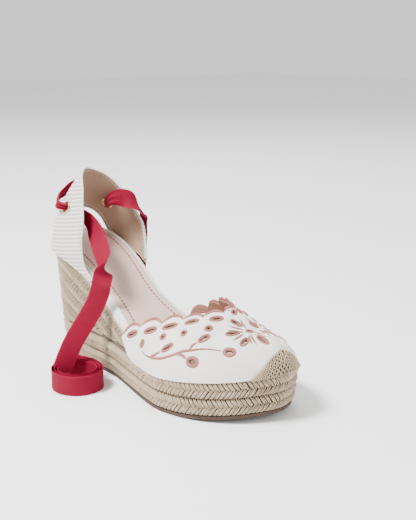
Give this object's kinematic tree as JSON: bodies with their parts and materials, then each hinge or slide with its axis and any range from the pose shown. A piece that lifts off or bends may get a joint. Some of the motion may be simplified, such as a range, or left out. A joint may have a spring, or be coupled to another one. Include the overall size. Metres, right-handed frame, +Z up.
{
  "type": "wedge sandal",
  "caption": "Closed-toe wedge espadrille with a braided jute platform, an embroidered canvas vamp, a woven heel counter and a ribbon tie threaded through eyelets.",
  "frame": {"origin": "on the floor under the middle of the shoe's length and width, at the bottom of the outsole", "axes": "+X towards the toe, +Y towards the medial side of this right shoe, +Z up"},
  "size_m": [0.2429, 0.1632, 0.1468],
  "materials": {
    "outsole": "matte moulded",
    "core": "foamed, hidden",
    "board": "pressed fibre",
    "padding": "soft foam",
    "sock": "smooth nude leather with tone-on-tone stitching",
    "canvas": "off-white plain-weave cotton canvas, embroidered",
    "jute": "braided natural jute",
    "crochet": "openwork crocheted jute",
    "woven": "woven in off-white with tan dashes",
    "lining": "smooth tan lining",
    "brass": "polished",
    "ribbon": "crimson woven cotton tape"
  },
  "bodies": {
    "root": {"outsole": "outsole", "wedge_core": "core", "insole_board": "board", "footbed_padding": "padding", "sock_lining": "sock", "insole_binding": "canvas", "jute_base_row_lower": "jute", "jute_base_row_upper": "jute", "vamp": "canvas", "vamp_lining": "lining", "toe_cap": "crochet", "heel_counter": "woven", "counter_lining": "lining", "eyelet_lateral": "brass", "eyelet_medial": "brass", "eyelet_washer_lateral": "brass", "eyelet_washer_medial": "brass", "ribbon": "ribbon", "ribbon_roll_lateral": "ribbon", "ribbon_roll_medial": "ribbon", "jute_wedge_row_1": "jute", "jute_wedge_row_2": "jute", "jute_wedge_row_3": "jute", "jute_wedge_row_4": "jute", "jute_wedge_row_5": "jute"}
  },
  "joints": []
}
